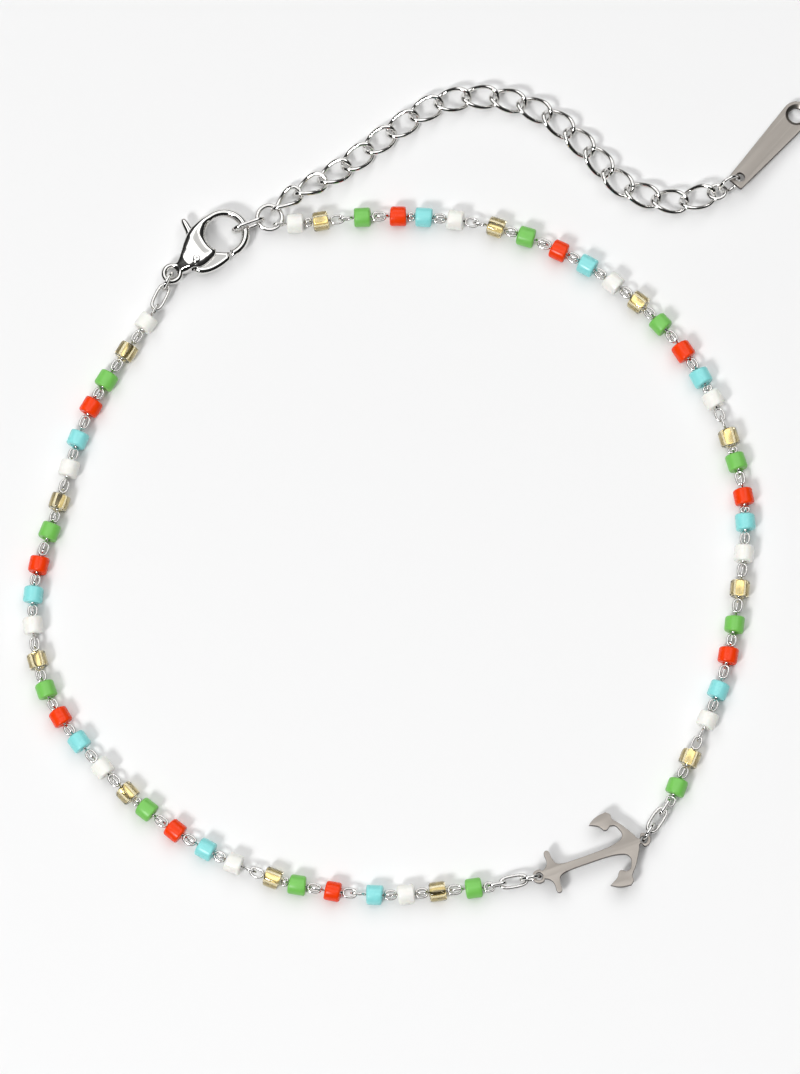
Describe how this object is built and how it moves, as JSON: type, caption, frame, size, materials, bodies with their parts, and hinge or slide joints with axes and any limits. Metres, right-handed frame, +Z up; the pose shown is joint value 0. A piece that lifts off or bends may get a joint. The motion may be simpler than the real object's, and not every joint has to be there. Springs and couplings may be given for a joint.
{
  "type": "beaded anklet",
  "caption": "Beaded anklet lying flat: coloured glass beads on linked wire pins, a flat anchor charm, a lobster clasp with a sprung lever, and an extension chain with a tapered tag.",
  "frame": {"origin": "middle of the whole anklet's outer box, on the surface it lies on", "axes": "+Z up from that surface, +Y from the anchor's side of the loop to the clasp and extension chain, +X to the right with +Y ahead"},
  "size_m": [0.0826, 0.0874, 0.0027],
  "materials": {
    "steel": "polished stainless steel",
    "plate": "satin stainless steel",
    "white_glass": "opaque glossy",
    "green_glass": "opaque glossy",
    "red_glass": "opaque glossy",
    "turquoise_glass": "opaque glossy",
    "gold_glass": "metal-coated glass, glossy"
  },
  "bodies": {
    "anklet": {"clasp_body": "steel", "clasp_rivet": "steel", "anchor": "plate", "right_strand_upper": "white_glass", "right_strand_lower": "white_glass", "left_strand_upper": "white_glass", "left_strand_lower": "white_glass", "stock_small_link": "steel", "stock_oval_link": "steel", "stock_jump_ring": "steel", "crown_small_link": "steel", "crown_oval_link": "steel", "crown_jump_ring": "steel", "clasp_oval_link": "steel", "clasp_jump_ring": "steel", "end_ring": "steel", "hook_link": "steel", "extension_link_01": "steel", "extension_link_02": "steel", "extension_link_03": "steel", "extension_link_04": "steel", "extension_link_05": "steel", "extension_link_06": "steel", "extension_link_07": "steel", "extension_link_08": "steel", "extension_link_09": "steel", "extension_link_10": "steel", "extension_link_11": "steel", "extension_link_12": "steel", "extension_link_13": "steel", "extension_link_14": "steel", "extension_link_15": "steel", "extension_link_16": "steel", "extension_link_17": "steel", "extension_link_18": "steel", "tag_ring": "steel", "tag_link": "steel", "tag": "plate"},
    "lever": {"clasp_lever": "steel"}
  },
  "joints": [
    {"name": "lever_pivot", "type": "hinge", "parent": "anklet", "child": "lever", "pos_m": [-0.02339, 0.02463, 0.00126], "axis": [0, 0, 1], "range_deg": [0, 25], "stiffness_Nm_per_rad": 0.002}
  ]
}
